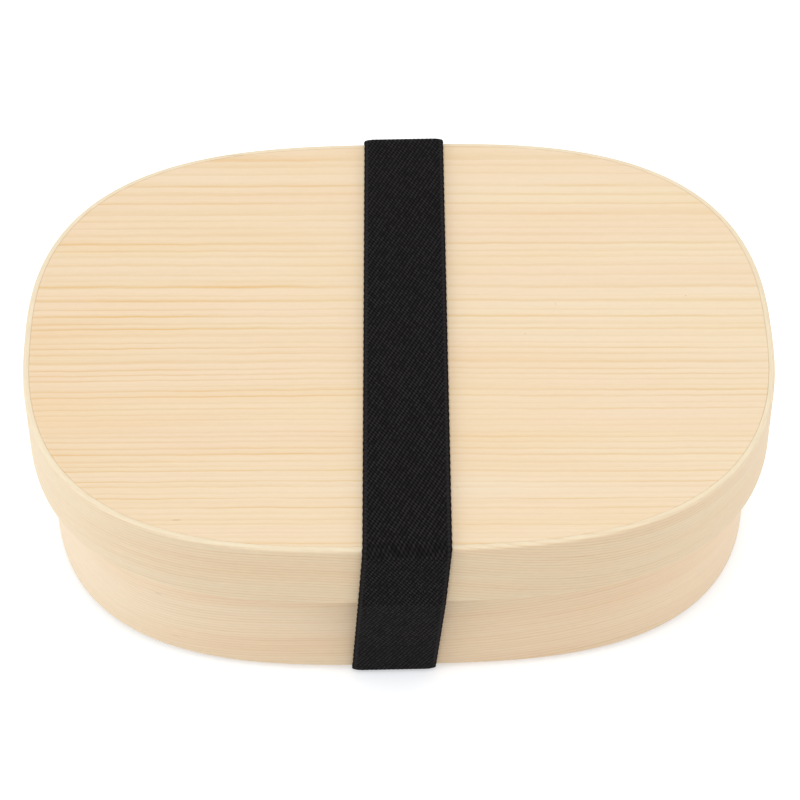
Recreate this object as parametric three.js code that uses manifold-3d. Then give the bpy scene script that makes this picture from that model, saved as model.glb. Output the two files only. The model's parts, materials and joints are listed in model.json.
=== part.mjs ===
// A bent-wood bento box: a box and a lid, each a bent strip round a flat board, a loose divider
// inside, and an elastic band round the middle. Millimetres, +Z up.
// The origin is under the middle of the box, on the surface that the band and the box stand on.
import * as THREE from "three";
import { mergeVertices } from "three/addons/utils/BufferGeometryUtils.js";
import Module from "manifold-3d";

const wasm = await Module();
wasm.setup();
const { Manifold, Mesh } = wasm;

// Lid, seen from above. Higher exponents make the outline squarer along X and along Y.
const lidLength = 180;
const lidWidth = 133.7;
const exponentAlongX = 3.06;
const exponentAlongY = 2.52;
const outlineSteps = 96;

// Heights
const woodHeight = 48.5; // from the foot of the box strip to the top of the lid strip
const skirtHeight = 19; // how far the lid strip reaches down over the box
const footRecess = 2.5; // the base board sits this far above the foot of the box strip

// Strips and boards
const stripThickness = 3; // the same bent strip makes the box and the lid
const rimThickness = 1.45; // what shows of a strip beside its board, outside the rebate
const boardThickness = 4;
const glueGap = 0.1; // between a board and the rebate that it is glued into
const lidClearance = 1.4; // between the lid strip and the box strip
const seatGap = 0.2; // between the top of the box strip and the lid board that rests on it
const edgeRound = 0.5;
const edgeRoundSteps = 3;

// Lap joint, where the two tapered ends of a strip are glued, on the back long side
const lapMiddle = -38; // x of the middle of the lap
const lapLength = 28;
const lapGap = 0.12;
const lapSteps = 8;

// Cherry bark lacing through the lap
const barkWidth = 5;
const barkThickness = 0.4;
const barkSeatGap = 0.1; // between the bark and the face that it lies on
const slitClearance = 0.15;
const barkTail = 2; // the hidden end of the bark, inside the strip
const barkTailGap = 0.5; // from the end of the tail to the next board or edge
const barkHop = 2.5; // how far the bark runs inside between two stitches
const boxStitches = 4;
const lidStitches = 2;

// Divider
const dividerThickness = 3;
const dividerDrop = 5.6; // from the top of the box strip down to the top of the divider
const dividerPlace = 20; // x at rest
const dividerEndGap = 0.4;
const dividerFootGap = 0.2;
const dividerCorner = 4;
const dividerCornerSteps = 6;

// Elastic band. The shifts are its sideways wander at the four corners of its loop.
const bandWidth = 20;
const bandThickness = 1.2;
const bandGap = 0.3; // between the band and the wood
const bandCornerSteps = 6;
const shiftFrontBottom = -2.8;
const shiftFrontTop = 0.6;
const shiftBackTop = 2.9;
const shiftBackBottom = -0.5;

// Sewn overlap of the band, in the recess under the base board
const overlapLength = 24;
const overlapMiddle = 4; // y of the middle of the overlap
const layerGap = 0.2;
const stepDownLength = 10; // over which the inner layer drops to the level of the outer one
const stepDownSteps = 6;
const threadThickness = 0.4;
const threadClearance = 0.1;
const threadFloorGap = 0.05; // the lower stitches lie in the band, this far above the floor
const threadTopGap = 0.15;
const seamRowInset = 4; // from each end of the overlap to its row of stitches
const seamSideMargin = 1.6;
const seamStitches = 5;
const seamHop = 1.6;

const overrun = 1; // how far every cut runs past what it cuts

// Levels and insets that follow from the sizes above
const woodBottom = bandThickness + bandGap;
const woodTop = woodBottom + woodHeight;
const skirtBottom = woodTop - skirtHeight;
const lidLedge = woodTop - boardThickness - glueGap;
const boxInset = stripThickness + lidClearance; // from the lid's outline in to the box's outer face
const boxTop = lidLedge + glueGap - seatGap;
const boxLedge = woodBottom + footRecess + boardThickness + glueGap;
const baseTop = boxLedge - glueGap;
const dividerHeight = boxTop - dividerDrop - dividerFootGap - baseTop;

// Solids and meshes

function solidOf(geometry) {
  const bare = new THREE.BufferGeometry().setAttribute("position", geometry.getAttribute("position"));
  if (geometry.index) bare.setIndex(geometry.index);
  const merged = mergeVertices(bare);
  const mesh = new Mesh({
    numProp: 3,
    vertProperties: merged.getAttribute("position").array,
    triVerts: new Uint32Array(merged.index.array),
  });
  return new Manifold(mesh);
}

function geometryOf(solid) {
  const mesh = solid.getMesh();
  const geometry = new THREE.BufferGeometry();
  geometry.setAttribute("position", new THREE.BufferAttribute(mesh.vertProperties, mesh.numProp));
  geometry.setIndex(new THREE.BufferAttribute(mesh.triVerts, 1));
  const faceted = geometry.toNonIndexed();
  faceted.computeVertexNormals();
  return faceted;
}

// A closed grid of points, joined into a tube whose ends are capped or, if looped, joined.
function tubeOf(rings, looped) {
  const sides = rings[0].length;
  const positions = rings.flat().flatMap((point) => point.toArray());
  const indices = [];
  const spans = looped ? rings.length : rings.length - 1;
  for (let i = 0; i < spans; i++) {
    const here = i * sides;
    const next = ((i + 1) % rings.length) * sides;
    for (let j = 0; j < sides; j++) {
      const k = (j + 1) % sides;
      indices.push(here + j, next + j, next + k, here + j, next + k, here + k);
    }
  }
  if (!looped) {
    const last = (rings.length - 1) * sides;
    for (let j = 1; j < sides - 1; j++) {
      indices.push(0, j, j + 1);
      indices.push(last, last + j + 1, last + j);
    }
  }
  const geometry = new THREE.BufferGeometry();
  geometry.setAttribute("position", new THREE.Float32BufferAttribute(positions, 3));
  geometry.setIndex(indices);
  return geometry;
}

// Outline of the lid, and everything that runs parallel to it

function pointAndNormal(x, y) {
  const alongX = (exponentAlongX / lidLength) * Math.pow(Math.abs(x / (lidLength / 2)), exponentAlongX - 1);
  const alongY = (exponentAlongY / lidWidth) * Math.pow(Math.abs(y / (lidWidth / 2)), exponentAlongY - 1);
  const normal = new THREE.Vector2(Math.sign(x) * alongX, Math.sign(y) * alongY).normalize();
  return { point: new THREE.Vector2(x, y), normal };
}

const outlineStations = Array.from({ length: outlineSteps }, (_, i) => {
  const angle = (2 * Math.PI * i) / outlineSteps;
  const c = i % (outlineSteps / 2) === outlineSteps / 4 ? 0 : Math.cos(angle);
  const s = i % (outlineSteps / 2) === 0 ? 0 : Math.sin(angle);
  const x = (lidLength / 2) * Math.sign(c) * Math.pow(Math.abs(c), 2 / exponentAlongX);
  const y = (lidWidth / 2) * Math.sign(s) * Math.pow(Math.abs(s), 2 / exponentAlongY);
  return pointAndNormal(x, y);
});

// The point of the back long side that has this x, and the way out from it.
function backStation(x) {
  const fraction = 1 - Math.pow(Math.abs(x / (lidLength / 2)), exponentAlongX);
  return pointAndNormal(x, (lidWidth / 2) * Math.pow(fraction, 1 / exponentAlongY));
}

function inward({ point, normal }, inset) {
  return point.clone().addScaledVector(normal, -inset);
}

// A ring with one profile all the way round. The profile runs [inset, z] clockwise, outer face first.
function ringOf(profile) {
  const rings = outlineStations.map((station) =>
    profile.map(([inset, z]) => {
      const { x, y } = inward(station, inset);
      return new THREE.Vector3(x, y, z);
    }),
  );
  return solidOf(tubeOf(rings, true));
}

function boardOf(inset, bottom) {
  const shape = new THREE.Shape(outlineStations.map((station) => inward(station, inset)));
  const geometry = new THREE.ExtrudeGeometry(shape, { depth: boardThickness, bevelEnabled: false });
  return solidOf(geometry.translate(0, 0, bottom));
}

// The quarter round of a strip's edge, from angle start, about a centre [inset, z].
function roundedEdge(inset, z, start) {
  return Array.from({ length: edgeRoundSteps + 1 }, (_, i) => {
    const angle = start - (Math.PI / 2) * (i / edgeRoundSteps);
    return [inset - edgeRound * Math.cos(angle), z + edgeRound * Math.sin(angle)];
  });
}

// Lap joint and its lacing

// The thin slanted gap between the two tapered ends of a strip.
function lapCut(outerInset, bottom, top) {
  const outerSide = [];
  const innerSide = [];
  for (let i = 0; i <= lapSteps; i++) {
    const share = i / lapSteps;
    const station = backStation(lapMiddle + lapLength * (share - 1 / 2));
    const depth = outerInset - overrun + share * (stripThickness + 2 * overrun);
    outerSide.push(inward(station, depth - lapGap / 2));
    innerSide.unshift(inward(station, depth + lapGap / 2));
  }
  const shape = new THREE.Shape([...outerSide, ...innerSide]);
  const geometry = new THREE.ExtrudeGeometry(shape, { depth: top - bottom + 2 * overrun, bevelEnabled: false });
  return solidOf(geometry.translate(0, 0, bottom - overrun));
}

// The levels at which a lacing or a thread passes through, from its first hole to its last.
function holeLevels(first, last, stitches, hop) {
  const stitch = (last - first - (stitches - 1) * hop) / stitches;
  return Array.from({ length: stitches }, (_, i) => {
    const start = first + i * (stitch + hop);
    return [start, start + stitch];
  }).flat();
}

// The outline of a running stitch: a ribbon that swaps between `under` and `over` at each level.
function stitchShape(levels, tail, under, over, thickness) {
  const half = thickness / 2;
  const lean = Math.sign(over - under) * half;
  const near = [new THREE.Vector2(under + lean, levels[0] - tail)];
  const far = [new THREE.Vector2(under - lean, levels[0] - tail)];
  levels.forEach((level, i) => {
    const [from, to, turn] = i % 2 === 0 ? [under, over, half] : [over, under, -half];
    near.push(new THREE.Vector2(from + lean, level - turn), new THREE.Vector2(to + lean, level - turn));
    far.push(new THREE.Vector2(from - lean, level + turn), new THREE.Vector2(to - lean, level + turn));
  });
  near.push(new THREE.Vector2(under + lean, levels.at(-1) + tail));
  far.push(new THREE.Vector2(under - lean, levels.at(-1) + tail));
  return new THREE.Shape([...near, ...far.reverse()]);
}

// Carries [outward, up, along] of a lacing into place at the middle of the lap.
function lacingFrame(outerInset) {
  const station = backStation(lapMiddle);
  const at = inward(station, outerInset);
  const out = new THREE.Vector3(station.normal.x, station.normal.y, 0);
  const up = new THREE.Vector3(0, 0, 1);
  const along = new THREE.Vector3().crossVectors(out, up);
  return new THREE.Matrix4().makeBasis(out, up, along).setPosition(at.x, at.y, 0);
}

function lacingOf(outerInset, levels) {
  const over = barkSeatGap + barkThickness / 2;
  const under = -stripThickness - over;
  const shape = stitchShape(levels, barkTail, under, over, barkThickness);
  const geometry = new THREE.ExtrudeGeometry(shape, { depth: barkWidth, bevelEnabled: false });
  geometry.translate(0, 0, -barkWidth / 2).applyMatrix4(lacingFrame(outerInset));
  return solidOf(geometry);
}

function slitCuts(outerInset, levels) {
  const through = stripThickness + 2 * overrun;
  return levels.map((level) => {
    const height = barkThickness + 2 * slitClearance;
    const geometry = new THREE.BoxGeometry(through, height, barkWidth + 2 * slitClearance);
    geometry.translate(-stripThickness / 2, level, 0).applyMatrix4(lacingFrame(outerInset));
    return solidOf(geometry);
  });
}

function cutAll(solid, cuts) {
  return cuts.reduce((left, cut) => left.subtract(cut), solid);
}

// Box

const boxLevels = holeLevels(
  baseTop + barkTailGap + barkTail,
  boxTop - edgeRound - barkTailGap - barkTail,
  boxStitches,
  barkHop,
);

function boxSideStrip() {
  const outer = boxInset;
  const inner = boxInset + stripThickness;
  const rim = boxInset + rimThickness;
  const strip = ringOf([
    ...roundedEdge(outer + edgeRound, woodBottom + edgeRound, 0).reverse(),
    ...roundedEdge(outer + edgeRound, boxTop - edgeRound, Math.PI / 2).reverse(),
    ...roundedEdge(inner - edgeRound, boxTop - edgeRound, Math.PI).reverse(),
    [inner, boxLedge],
    [rim, boxLedge],
    [rim, woodBottom],
  ]);
  return cutAll(strip, [lapCut(outer, woodBottom, boxTop), ...slitCuts(outer, boxLevels)]);
}

// Lid

const lidLevels = holeLevels(
  skirtBottom + edgeRound + barkTailGap + barkTail,
  lidLedge - barkTailGap - barkTail,
  lidStitches,
  barkHop,
);

function lidSideStrip() {
  const strip = ringOf([
    ...roundedEdge(edgeRound, skirtBottom + edgeRound, 0).reverse(),
    ...roundedEdge(edgeRound, woodTop - edgeRound, Math.PI / 2).reverse(),
    [rimThickness, woodTop],
    [rimThickness, lidLedge],
    [stripThickness, lidLedge],
    ...roundedEdge(stripThickness - edgeRound, skirtBottom + edgeRound, -Math.PI / 2).reverse(),
  ]);
  return cutAll(strip, [lapCut(0, skirtBottom, woodTop), ...slitCuts(0, lidLevels)]);
}

// Divider

// Half the inner width of the box at the divider's outer face, where it is narrowest.
function innerHalfWidth() {
  const farFace = Math.abs(dividerPlace) + dividerThickness / 2;
  return inward(backStation(farFace), boxInset + stripThickness).y;
}

function dividerBoard() {
  const half = innerHalfWidth() - dividerEndGap;
  const shape = new THREE.Shape();
  shape.moveTo(-half, 0);
  shape.lineTo(half, 0);
  shape.absarc(half - dividerCorner, dividerHeight - dividerCorner, dividerCorner, 0, Math.PI / 2);
  shape.absarc(dividerCorner - half, dividerHeight - dividerCorner, dividerCorner, Math.PI / 2, Math.PI);
  const geometry = new THREE.ExtrudeGeometry(shape, {
    depth: dividerThickness,
    bevelEnabled: false,
    curveSegments: dividerCornerSteps,
  });
  // The shape's x becomes the box's Y, and its y becomes Z.
  const turn = new THREE.Matrix4().makeBasis(
    new THREE.Vector3(0, 1, 0),
    new THREE.Vector3(0, 0, 1),
    new THREE.Vector3(1, 0, 0),
  );
  geometry.applyMatrix4(turn);
  return solidOf(geometry.translate(dividerPlace - dividerThickness / 2, 0, baseTop + dividerFootGap));
}

// Elastic band

const overlapFront = overlapMiddle - overlapLength / 2;
const overlapBack = overlapMiddle + overlapLength / 2;
const outerLayerLevel = bandThickness / 2;
const innerLayerLevel = outerLayerLevel + bandThickness + layerGap;

// Sideways wander of the band at a place in its loop, between its four corners.
function bandShift(y, z) {
  const back = y / lidWidth + 1 / 2;
  const up = z / (woodTop + bandGap + bandThickness);
  const bottom = THREE.MathUtils.lerp(shiftFrontBottom, shiftBackBottom, back);
  const top = THREE.MathUtils.lerp(shiftFrontTop, shiftBackTop, back);
  return THREE.MathUtils.lerp(bottom, top, up);
}

// The middle line of the band, from its inner end, towards the front, once round, to its outer end.
// Each entry holds y, z and the direction that faces away from the box.
function bandPath() {
  const boxHalf = lidWidth / 2 - boxInset - edgeRound;
  const lidHalf = lidWidth / 2 - edgeRound;
  const corners = [
    new THREE.Vector2(-boxHalf, woodBottom + edgeRound),
    new THREE.Vector2(-lidHalf, skirtBottom + edgeRound),
    new THREE.Vector2(-lidHalf, woodTop - edgeRound),
    new THREE.Vector2(lidHalf, woodTop - edgeRound),
    new THREE.Vector2(lidHalf, skirtBottom + edgeRound),
    new THREE.Vector2(boxHalf, woodBottom + edgeRound),
  ];
  const radius = edgeRound + bandGap + bandThickness / 2;
  const down = new THREE.Vector2(0, -1);
  const path = [{ y: overlapBack, z: innerLayerLevel, out: down }];
  for (let i = 0; i <= stepDownSteps; i++) {
    const share = i / stepDownSteps;
    const y = overlapFront - layerGap - bandThickness - share * stepDownLength;
    const drop = (1 - Math.cos(Math.PI * share)) / 2;
    const z = THREE.MathUtils.lerp(innerLayerLevel, outerLayerLevel, drop);
    path.push({ y, z, out: down });
  }
  corners.forEach((corner, i) => {
    const before = corners[(i + corners.length - 1) % corners.length];
    const after = corners[(i + 1) % corners.length];
    const start = outwardAngle(before, corner);
    const turn = THREE.MathUtils.euclideanModulo(start - outwardAngle(corner, after), 2 * Math.PI);
    const steps = Math.max(1, Math.round((bandCornerSteps * turn) / (Math.PI / 2)));
    for (let k = 0; k <= steps; k++) {
      const angle = start - (turn * k) / steps;
      const out = new THREE.Vector2(Math.cos(angle), Math.sin(angle));
      path.push({ y: corner.x + radius * out.x, z: corner.y + radius * out.y, out });
    }
  });
  path.push({ y: overlapFront, z: outerLayerLevel, out: down });
  return path;
}

// The angle that faces out of the box on the run from one corner to the next, going clockwise.
function outwardAngle(from, to) {
  return Math.atan2(to.y - from.y, to.x - from.x) + Math.PI / 2;
}

function elasticBand() {
  const rings = bandPath().map(({ y, z, out }) => {
    const middle = bandShift(y, z);
    const corner = (side, layer) => {
      const reach = (layer * bandThickness) / 2;
      return new THREE.Vector3(middle + (side * bandWidth) / 2, y + reach * out.x, z + reach * out.y);
    };
    return [corner(-1, -1), corner(1, -1), corner(1, 1), corner(-1, 1)];
  });
  return cutAll(solidOf(tubeOf(rings, false)), seamRows.map((y) => seamRow(y, threadClearance)));
}

const seamRows = [overlapFront + seamRowInset, overlapBack - seamRowInset];

// One row of stitches across the band, at this y, grown by a clearance when it cuts the band.
function seamRow(y, grown) {
  const middle = bandShift(y, 0);
  const reach = bandWidth / 2 - seamSideMargin;
  const levels = holeLevels(middle - reach, middle + reach, seamStitches, seamHop);
  const low = threadFloorGap + threadThickness / 2;
  const high = innerLayerLevel + bandThickness / 2 + threadTopGap + threadThickness / 2;
  const thickness = threadThickness + 2 * grown;
  const shape = stitchShape(levels, seamHop / 2, high, low, thickness);
  const geometry = new THREE.ExtrudeGeometry(shape, { depth: thickness, bevelEnabled: false });
  // The shape's x becomes Z, and its y becomes X.
  const turn = new THREE.Matrix4().makeBasis(
    new THREE.Vector3(0, 0, 1),
    new THREE.Vector3(1, 0, 0),
    new THREE.Vector3(0, 1, 0),
  );
  return solidOf(geometry.applyMatrix4(turn).translate(0, y - thickness / 2, 0));
}

// Materials and assembly

const materials = {
  wood: new THREE.MeshStandardMaterial({ color: 0xf0d8b0, roughness: 0.6, metalness: 0 }),
  bark: new THREE.MeshStandardMaterial({ color: 0x6b3420, roughness: 0.45, metalness: 0 }),
  elastic: new THREE.MeshStandardMaterial({ color: 0x1c1a1b, roughness: 0.9, metalness: 0 }),
  thread: new THREE.MeshStandardMaterial({ color: 0x242223, roughness: 0.7, metalness: 0 }),
};

function piece(name, solid, material) {
  const mesh = new THREE.Mesh(geometryOf(solid), material);
  mesh.name = name;
  return mesh;
}

function groupOf(name, ...meshes) {
  const group = new THREE.Group();
  group.name = name;
  return group.add(...meshes);
}

const baseBoard = boardOf(boxInset + rimThickness + glueGap, baseTop - boardThickness);
const topBoard = boardOf(rimThickness + glueGap, woodTop - boardThickness);

export default groupOf(
  "bento_box",
  groupOf(
    "box",
    piece("box_side_strip", boxSideStrip(), materials.wood),
    piece("box_base_board", baseBoard, materials.wood),
    piece("box_bark_lacing", lacingOf(boxInset, boxLevels), materials.bark),
  ),
  groupOf(
    "lid",
    piece("lid_side_strip", lidSideStrip(), materials.wood),
    piece("lid_top_board", topBoard, materials.wood),
    piece("lid_bark_lacing", lacingOf(0, lidLevels), materials.bark),
  ),
  groupOf("divider", piece("divider_board", dividerBoard(), materials.wood)),
  groupOf(
    "band",
    piece("elastic_band", elasticBand(), materials.elastic),
    piece("band_seam_thread_front", seamRow(seamRows[0], 0), materials.thread),
    piece("band_seam_thread_back", seamRow(seamRows[1], 0), materials.thread),
  ),
);
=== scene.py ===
"""Looks of the wooden bento box, in metres: bent strips, boards, bark lacing, divider, band."""

import json
import math

import bmesh
import bpy
import numpy as np
from mathutils import Matrix, Vector

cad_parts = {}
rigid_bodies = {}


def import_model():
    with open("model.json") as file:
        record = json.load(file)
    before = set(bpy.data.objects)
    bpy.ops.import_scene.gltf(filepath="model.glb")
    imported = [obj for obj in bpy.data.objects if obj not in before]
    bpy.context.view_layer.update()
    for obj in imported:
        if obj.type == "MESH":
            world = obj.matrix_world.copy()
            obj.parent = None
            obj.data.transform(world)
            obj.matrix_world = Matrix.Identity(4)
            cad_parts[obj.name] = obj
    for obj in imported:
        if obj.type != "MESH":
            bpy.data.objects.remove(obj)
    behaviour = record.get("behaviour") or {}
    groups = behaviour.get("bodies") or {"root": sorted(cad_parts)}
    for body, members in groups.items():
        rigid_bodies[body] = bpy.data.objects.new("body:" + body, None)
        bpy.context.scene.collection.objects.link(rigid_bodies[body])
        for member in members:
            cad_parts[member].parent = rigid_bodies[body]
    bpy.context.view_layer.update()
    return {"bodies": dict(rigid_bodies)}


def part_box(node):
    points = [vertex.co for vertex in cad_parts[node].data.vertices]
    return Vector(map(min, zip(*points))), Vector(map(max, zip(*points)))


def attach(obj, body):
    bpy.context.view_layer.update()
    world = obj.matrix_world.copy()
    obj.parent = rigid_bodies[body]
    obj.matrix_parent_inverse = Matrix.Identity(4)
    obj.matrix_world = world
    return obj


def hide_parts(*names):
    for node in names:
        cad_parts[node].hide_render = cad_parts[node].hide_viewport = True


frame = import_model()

MM = 0.001

# Sizes

# Outline of the lid: |2x / length| ** EXPONENT_X + |2y / width| ** EXPONENT_Y = 1
EXPONENT_X = 3.06
EXPONENT_Y = 2.52
OUTLINE_STEPS = 400
GRAIN_STEPS = 1600  # points that the grain is measured from
OUTLINE_FINENESS = 200  # points measured for each one kept
GRAIN_BATCH = 4000  # face corners worked out at once

lid_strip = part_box("lid_side_strip")
lid_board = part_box("lid_top_board")
box_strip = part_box("box_side_strip")
box_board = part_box("box_base_board")
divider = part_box("divider_board")
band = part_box("elastic_band")

LENGTH = lid_strip[1].x - lid_strip[0].x
WIDTH = lid_strip[1].y - lid_strip[0].y
BOX_INSET = lid_strip[1].x - box_strip[1].x

STRIP = 3 * MM  # thickness of both strips
RIM = 1.45 * MM  # what shows of a strip beside its board
LEDGE_GAP = 0.1 * MM  # between a board and the ledge of its strip
SHADOW_GAP = 0.03 * MM  # seam between a board and the rim of its strip
EDGE_ROUND = 0.55 * MM
EDGE_ROUND_CAD = 0.5 * MM  # the same in the CAD solids, from which the lacings are set out
LID_ROUND = 0.85 * MM  # upper outer edge of the lid, more worn than the rest
EDGE_STEPS = 6
SHARP = 35  # degrees from which the line between two faces shows
BOARD_EASE = 0.08 * MM
DIVIDER_CORNER = 4 * MM  # radius of its upper corners, and how far its edges are eased
DIVIDER_EASE = 0.4 * MM
DIVIDER_STEPS = 12

LAP_MIDDLE = -38 * MM  # where along the back the two laps are
LAP_LENGTH = 28 * MM
LAP_GAP = 0.07 * MM
LAP_STEPS = 24
OVERRUN = 1 * MM  # how far a cutter reaches past what it cuts

BARK_WIDTH = 5 * MM
BARK_THICKNESS = 0.4 * MM
BARK_SEAT = 0.1 * MM  # between the ribbon and the wood
BARK_TAIL = 2 * MM  # inside, past the first and the last slit
BARK_TAIL_GAP = 0.5 * MM  # between a tail's end and what lies beyond it
BARK_HOP = 2.5 * MM  # run inside the wall between two stitches
BARK_BEND = 0.3 * MM
SLIT_CLEARANCE = 0.15 * MM
BEND_POINTS = 5  # points round each corner of a running stitch

BAND_WIDTH = 20 * MM
BAND_THICKNESS = 1.2 * MM
BAND_GAP = 0.3 * MM  # between the band and the wood on the straight runs
BAND_STEP = 0.36 * MM  # length of one row of the band's mesh
BAND_COLUMNS = 74  # points across its outer face, and across its inner one
INNER_COLUMNS = 12
BEND = 1.1 * MM  # how far inside each corner the band turns about
BEND_STEP = 6  # degrees between two points of a bend
BEND_BULGE = 0.1 * MM  # how much wider the band lies where it bends over the lid
FRONT_BULGE = 0.42 * MM  # how much wider it lies at the front than at the back
SHIFT_FRONT_BOTTOM = -2.8 * MM  # how far aside the band lies at each of its four corners
SHIFT_FRONT_TOP = 0.6 * MM
SHIFT_BACK_TOP = 2.9 * MM
SHIFT_BACK_BOTTOM = -0.5 * MM
OVERLAP_FRONT = -8 * MM  # the band's outer end under the box, and its inner end
OVERLAP_BACK = 16 * MM
LAYER_GAP = 0.2 * MM
STEP_DOWN = 10 * MM  # run over which the band comes down from the inner layer
STEP_DOWN_POINTS = 40

RELIEF = 0.11 * MM  # depth of the ribs on the flat runs
BEND_RELIEF = 0.35  # share of it that stays in the bends
RIB_ACROSS = 1.05 * MM  # spacing of the twill's ribs across the band, and along it
RIB_ALONG = 2.15 * MM
RIB_START = 0.6  # where the ribs begin, in selvedge widths from the edge
STITCH_ACROSS = 0.93 * MM  # spacing of the knit rows that lean the other way
STITCH_ALONG = 1.06 * MM
SELVEDGE = 0.8 * MM
SCALLOP = 0.05 * MM
CROWN = 0.35 * MM  # how much thinner the band is at its edges where it bends
CROWN_REACH = 2.5 * MM
FLAT_CROWN = 0.3  # share of the crown on the flat runs
LIP = 0.2 * MM  # between the faces and the rolled edge
LIP_DROP = 0.1 * MM  # from the outer face down to the roll, and from the inner face up to it
LIP_RISE = 0.25 * MM
EDGE_BULGE = 0.05 * MM  # how far the roll stands out sideways

THREAD = 0.4 * MM
THREAD_FLOOR = 0.05 * MM  # between the thread and the ground
THREAD_TOP = 0.15 * MM  # between the thread and the band's inner layer
THREAD_BEND = 0.25 * MM
SEAM_INSET = 4 * MM  # from an end of the band to its row of stitches
SEAM_MARGIN = 1.6 * MM
SEAM_STITCHES = 5
SEAM_HOP = 1.6 * MM


# Mesh tools


def place(name, mesh, material, body, replaced, slot):
    """Turns a mesh into a finished piece that stands for its CAD node."""
    piece = bpy.data.objects.new(name, mesh)
    bpy.context.scene.collection.objects.link(piece)
    mesh.materials.append(material)
    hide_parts(replaced)
    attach(piece, body)
    return piece


def mesh_from(name, vertices, faces, sharp):
    """A clean mesh of these points and faces."""
    mesh = bpy.data.meshes.new(name)
    mesh.from_pydata([tuple(v) for v in vertices], [], faces)
    clean(mesh, sharp)
    return mesh


def clean(mesh, sharp):
    """Turns every face outwards and shades the mesh smooth up to this angle."""
    made = bmesh.new()
    made.from_mesh(mesh)
    bmesh.ops.recalc_face_normals(made, faces=made.faces)
    made.to_mesh(mesh)
    made.free()
    mesh.shade_smooth()
    mesh.set_sharp_from_angle(angle=math.radians(sharp))


def loft_faces(count, sides, looped):
    """Faces of a tube of `count` rings of `sides` points each, with its ends joined or capped."""
    faces = []
    for i in range(count if looped else count - 1):
        here, after = i * sides, (i + 1) % count * sides
        faces += [
            (here + j, here + (j + 1) % sides, after + (j + 1) % sides, after + j)
            for j in range(sides)
        ]
    if not looped:
        faces.append(tuple(range(sides)))
        faces.append(tuple((count - 1) * sides + j for j in range(sides)))
    return faces


def loft(name, rings, looped, sharp=SHARP):
    """A closed mesh through rings that have the same number of points."""
    rings = np.asarray(rings, float)
    count, sides = rings.shape[:2]
    return mesh_from(name, rings.reshape(-1, 3), loft_faces(count, sides, looped), sharp)


def cut(mesh, cutters):
    """The mesh less all the cutter meshes."""
    body = bpy.data.objects.new("cut_body", mesh)
    bpy.context.scene.collection.objects.link(body)
    tools = []
    for k, cutter in enumerate(cutters):
        tool = bpy.data.objects.new(f"cut_tool_{k}", cutter)
        bpy.context.scene.collection.objects.link(tool)
        step = body.modifiers.new(f"cut_{k}", "BOOLEAN")
        step.operation = "DIFFERENCE"
        step.solver = "EXACT"
        step.object = tool
        tools.append(tool)
    graph = bpy.context.evaluated_depsgraph_get()
    done = bpy.data.meshes.new_from_object(body.evaluated_get(graph), depsgraph=graph)
    for scrap in [body, *tools]:
        bpy.data.objects.remove(scrap)
    done.materials.clear()
    clean(done, SHARP)
    return done


def set_grain(mesh, corner_values):
    """Stores where each face corner lies: along the fibre, across it, and deep into the wood."""
    layer = mesh.attributes.new("grain", "FLOAT_VECTOR", "CORNER")
    layer.data.foreach_set("vector", np.asarray(corner_values, np.float32).ravel())


def set_edge(mesh):
    """Marks how far each face looks up or down, for the sanded edges of a strip, which are paler
    and carry a painted highlight.
    """
    layer = mesh.attributes.new("edge", "FLOAT", "FACE")
    layer.data.foreach_set("value", [face.normal.z for face in mesh.polygons])


def corner_points(mesh):
    """The place of every face corner."""
    points = np.empty(len(mesh.vertices) * 3)
    mesh.vertices.foreach_get("co", points)
    index = np.empty(len(mesh.loops), int)
    mesh.loops.foreach_get("vertex_index", index)
    return points.reshape(-1, 3)[index]


# Outline


def outline_normal(x, y):
    """The outward direction of the outline at a point of it."""
    nx = EXPONENT_X / LENGTH * np.abs(2 * x / LENGTH) ** (EXPONENT_X - 1) * np.sign(x)
    ny = EXPONENT_Y / WIDTH * np.abs(2 * y / WIDTH) ** (EXPONENT_Y - 1) * np.sign(y)
    size = np.hypot(nx, ny)
    return nx / size, ny / size


def make_outline(steps):
    """Points and outward normals, evenly spaced, clockwise from the outer end of the lap."""
    angle = np.linspace(0, -2 * np.pi, OUTLINE_FINENESS * steps, endpoint=False)
    x = LENGTH / 2 * np.sign(np.cos(angle)) * np.abs(np.cos(angle)) ** (2 / EXPONENT_X)
    y = WIDTH / 2 * np.sign(np.sin(angle)) * np.abs(np.sin(angle)) ** (2 / EXPONENT_Y)
    start = np.argmin(np.hypot(x - (LAP_MIDDLE - LAP_LENGTH / 2), y - WIDTH / 2))
    x, y = np.roll(x, -start), np.roll(y, -start)
    run = np.hypot(np.diff(x, append=x[0]), np.diff(y, append=y[0]))
    length = np.concatenate([[0], np.cumsum(run)])
    at = np.arange(steps) * length[-1] / steps
    x, y = np.interp(at, length[:-1], x), np.interp(at, length[:-1], y)
    nx, ny = outline_normal(x, y)
    return np.stack([x, y], 1), np.stack([nx, ny], 1), at, length[-1]


outline, outline_out, _, PERIMETER = make_outline(OUTLINE_STEPS)


def back_station(x):
    """The point of the outline at this x on the back, and its outward normal."""
    y = WIDTH / 2 * (1 - abs(2 * x / LENGTH) ** EXPONENT_X) ** (1 / EXPONENT_Y)
    nx, ny = outline_normal(np.array(x), np.array(y))
    return np.array([x, y]), np.array([float(nx), float(ny)])


def inset_points(inset):
    """The outline moved inwards by this much, a parallel curve."""
    return outline - outline_out * inset


def ring(name, profile):
    """A hoop with this profile of (inset, z) all the way round."""
    rings = [
        np.column_stack([inset_points(inset), np.full(OUTLINE_STEPS, z)])
        for inset, z in profile
    ]
    return loft(name, np.stack(rings, 1), looped=True)


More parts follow.
